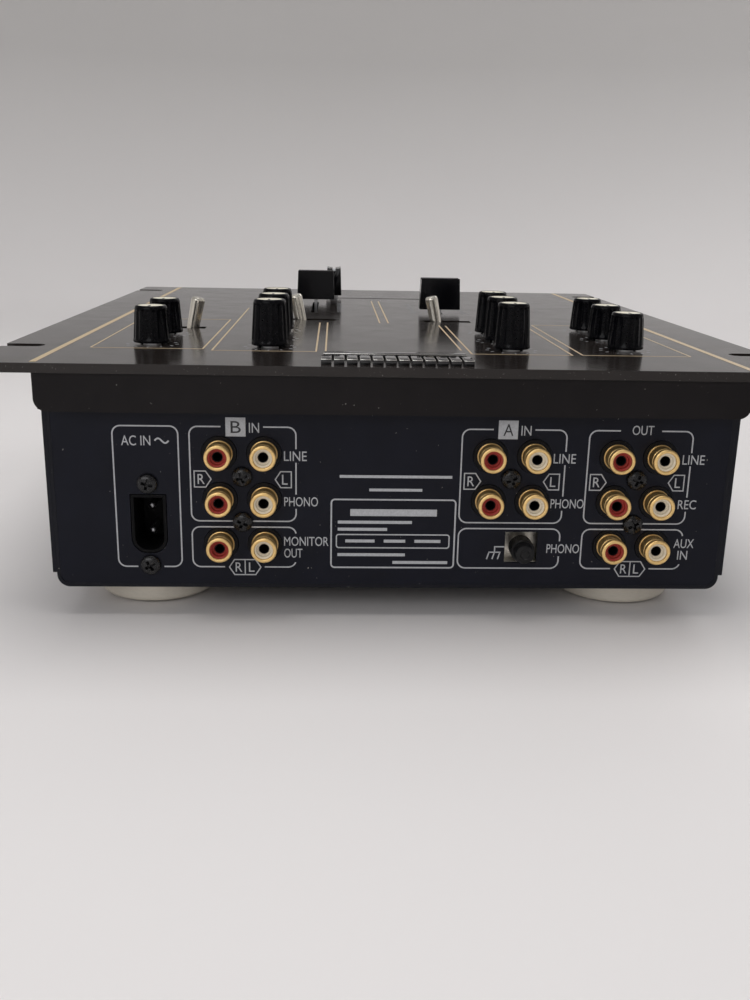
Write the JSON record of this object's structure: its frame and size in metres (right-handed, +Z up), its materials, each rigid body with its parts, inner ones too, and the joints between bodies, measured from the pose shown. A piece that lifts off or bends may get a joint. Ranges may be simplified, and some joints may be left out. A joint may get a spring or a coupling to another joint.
{
  "type": "dj mixer",
  "caption": "Flat black DJ mixer with a wide top panel on a shallow case, turning knobs, sliding faders and tilting levers, gold phono sockets and a mains inlet at the rear.",
  "frame": {"origin": "on the standing surface, under the middle of the top panel", "axes": "+Z up, +Y towards the rear panel, -Y towards the user, +X to the user's right"},
  "size_m": [0.26, 0.304, 0.1007],
  "materials": {
    "panel_black": "fine satin black paint with printed lines",
    "skirt_black": "satin brown-black paint",
    "case_black": "fine satin black paint",
    "rear_black": "fine satin blue-black paint with pale printing",
    "badge_metal": "polished edges on dark faces",
    "foot_champagne": "champagne metallic finish",
    "pad_rubber": "matt rubber",
    "screw_steel": "zinc-plated steel",
    "screw_black": "black oxide screw heads",
    "jack_black": "moulded black plastic",
    "jack_gold": "gold-plated, slightly dull",
    "jack_red": "dark red plastic",
    "jack_white": "ivory plastic",
    "inlet_black": "moulded black plastic",
    "pin_metal": "nickel-plated pins",
    "terminal_metal": "zinc-plated bracket and stud",
    "nut_black": "ribbed black plastic",
    "pot_metal": "pressed steel housings",
    "fader_metal": "pressed steel channels",
    "switch_plastic": "dark grey plastic",
    "board_green": "green circuit board laminate",
    "core_metal": "laminated core, varnished",
    "front_jack_black": "black plastic jacks",
    "button_black": "glossy black button",
    "knob_black": "glossy black with fine flutes and a pale top",
    "shaft_metal": "turned metal shafts",
    "cap_black": "glossy black caps",
    "stem_metal": "plain steel stems",
    "lever_cream": "silvery cream plastic"
  },
  "bodies": {
    "chassis": {"top_plate": "panel_black", "skirt_frame": "skirt_black", "bottom_pan": "case_black", "side_cover_left": "case_black", "side_cover_right": "case_black", "rear_panel": "rear_black", "front_panel": "rear_black", "badge": "badge_metal", "feet": "foot_champagne", "foot_pads": "pad_rubber", "case_screws": "screw_steel", "rear_screws": "screw_black", "rca_housings": "jack_black", "rca_shells": "jack_gold", "rca_red_inserts": "jack_red", "rca_white_inserts": "jack_white", "ac_inlet": "inlet_black", "ac_pins": "pin_metal", "ground_post": "terminal_metal", "pot_bodies": "pot_metal", "fader_bodies": "fader_metal", "lever_switches": "switch_plastic", "control_board": "board_green", "jack_board": "board_green", "transformer": "core_metal", "phone_jacks": "front_jack_black", "power_switch": "switch_plastic"},
    "a_trim_knob": {"knob_a_trim": "knob_black", "shaft_a_trim": "shaft_metal"},
    "a_high_knob": {"knob_a_high": "knob_black", "shaft_a_high": "shaft_metal"},
    "a_low_knob": {"knob_a_low": "knob_black", "shaft_a_low": "shaft_metal"},
    "b_trim_knob": {"knob_b_trim": "knob_black", "shaft_b_trim": "shaft_metal"},
    "b_high_knob": {"knob_b_high": "knob_black", "shaft_b_high": "shaft_metal"},
    "b_low_knob": {"knob_b_low": "knob_black", "shaft_b_low": "shaft_metal"},
    "mic_high_knob": {"knob_mic_high": "knob_black", "shaft_mic_high": "shaft_metal"},
    "mic_low_knob": {"knob_mic_low": "knob_black", "shaft_mic_low": "shaft_metal"},
    "mic_level_knob": {"knob_mic_level": "knob_black", "shaft_mic_level": "shaft_metal"},
    "cue_level_knob": {"knob_cue_level": "knob_black", "shaft_cue_level": "shaft_metal"},
    "cue_mix_knob": {"knob_cue_mix": "knob_black", "shaft_cue_mix": "shaft_metal"},
    "fader_a": {"fader_cap_a": "cap_black", "fader_stem_a": "stem_metal"},
    "fader_b": {"fader_cap_b": "cap_black", "fader_stem_b": "stem_metal"},
    "crossfader": {"crossfader_cap": "cap_black", "crossfader_stem": "stem_metal"},
    "selector_a": {"lever_a": "lever_cream"},
    "selector_b": {"lever_b": "lever_cream"},
    "selector_cue": {"lever_cue": "lever_cream"},
    "thumb_nut": {"ground_nut": "nut_black"},
    "power_push": {"power_button": "button_black"}
  },
  "joints": [
    {"name": "a_trim_turn", "type": "hinge", "parent": "chassis", "child": "a_trim_knob", "pos_m": [-0.0415, 0.1085, 0.0845], "axis": [0, 0, 1], "range_deg": [-150, 150]},
    {"name": "a_high_turn", "type": "hinge", "parent": "chassis", "child": "a_high_knob", "pos_m": [-0.0415, 0.0845, 0.0845], "axis": [0, 0, 1], "range_deg": [-150, 150]},
    {"name": "a_low_turn", "type": "hinge", "parent": "chassis", "child": "a_low_knob", "pos_m": [-0.0415, 0.0605, 0.0845], "axis": [0, 0, 1], "range_deg": [-150, 150]},
    {"name": "b_trim_turn", "type": "hinge", "parent": "chassis", "child": "b_trim_knob", "pos_m": [0.0415, 0.1085, 0.0845], "axis": [0, 0, 1], "range_deg": [-150, 150]},
    {"name": "b_high_turn", "type": "hinge", "parent": "chassis", "child": "b_high_knob", "pos_m": [0.0415, 0.0845, 0.0845], "axis": [0, 0, 1], "range_deg": [-150, 150]},
    {"name": "b_low_turn", "type": "hinge", "parent": "chassis", "child": "b_low_knob", "pos_m": [0.0415, 0.0605, 0.0845], "axis": [0, 0, 1], "range_deg": [-150, 150]},
    {"name": "mic_high_turn", "type": "hinge", "parent": "chassis", "child": "mic_high_knob", "pos_m": [-0.082, 0.105, 0.0845], "axis": [0, 0, 1], "range_deg": [-150, 150]},
    {"name": "mic_low_turn", "type": "hinge", "parent": "chassis", "child": "mic_low_knob", "pos_m": [-0.082, 0.076, 0.0845], "axis": [0, 0, 1], "range_deg": [-150, 150]},
    {"name": "mic_level_turn", "type": "hinge", "parent": "chassis", "child": "mic_level_knob", "pos_m": [-0.082, 0.047, 0.0845], "axis": [0, 0, 1], "range_deg": [-150, 150]},
    {"name": "cue_level_turn", "type": "hinge", "parent": "chassis", "child": "cue_level_knob", "pos_m": [0.082, 0.105, 0.0845], "axis": [0, 0, 1], "range_deg": [-150, 150]},
    {"name": "cue_mix_turn", "type": "hinge", "parent": "chassis", "child": "cue_mix_knob", "pos_m": [0.082, 0.076, 0.0845], "axis": [0, 0, 1], "range_deg": [-150, 150]},
    {"name": "fader_a_slide", "type": "slide", "parent": "chassis", "child": "fader_a", "axis": [0, 1, 0], "range_m": [-0.045, 0]},
    {"name": "fader_b_slide", "type": "slide", "parent": "chassis", "child": "fader_b", "axis": [0, 1, 0], "range_m": [0, 0.045]},
    {"name": "crossfader_slide", "type": "slide", "parent": "chassis", "child": "crossfader", "axis": [1, 0, 0], "range_m": [-0.0425, 0.0025]},
    {"name": "selector_a_tilt", "type": "hinge", "parent": "chassis", "child": "selector_a", "pos_m": [-0.029, 0.0175, 0.0615], "axis": [0, 1, 0], "range_deg": [-24.6, 0]},
    {"name": "selector_b_tilt", "type": "hinge", "parent": "chassis", "child": "selector_b", "pos_m": [0.029, 0.0175, 0.0615], "axis": [0, 1, 0], "range_deg": [-24.6, 0]},
    {"name": "selector_cue_tilt", "type": "hinge", "parent": "chassis", "child": "selector_cue", "pos_m": [0.08, 0.054, 0.0615], "axis": [0, 1, 0], "range_deg": [0, 24.6]},
    {"name": "thumb_nut_turn", "type": "hinge", "parent": "chassis", "child": "thumb_nut", "pos_m": [-0.042, 0.146, 0.0248], "axis": [0, 1, 0], "range_deg": [-30, 720]},
    {"name": "power_push", "type": "slide", "parent": "chassis", "child": "power_push", "axis": [0, 1, 0], "range_m": [0, 0.003], "stiffness_N_per_m": 300, "springref_m": -0.002}
  ]
}
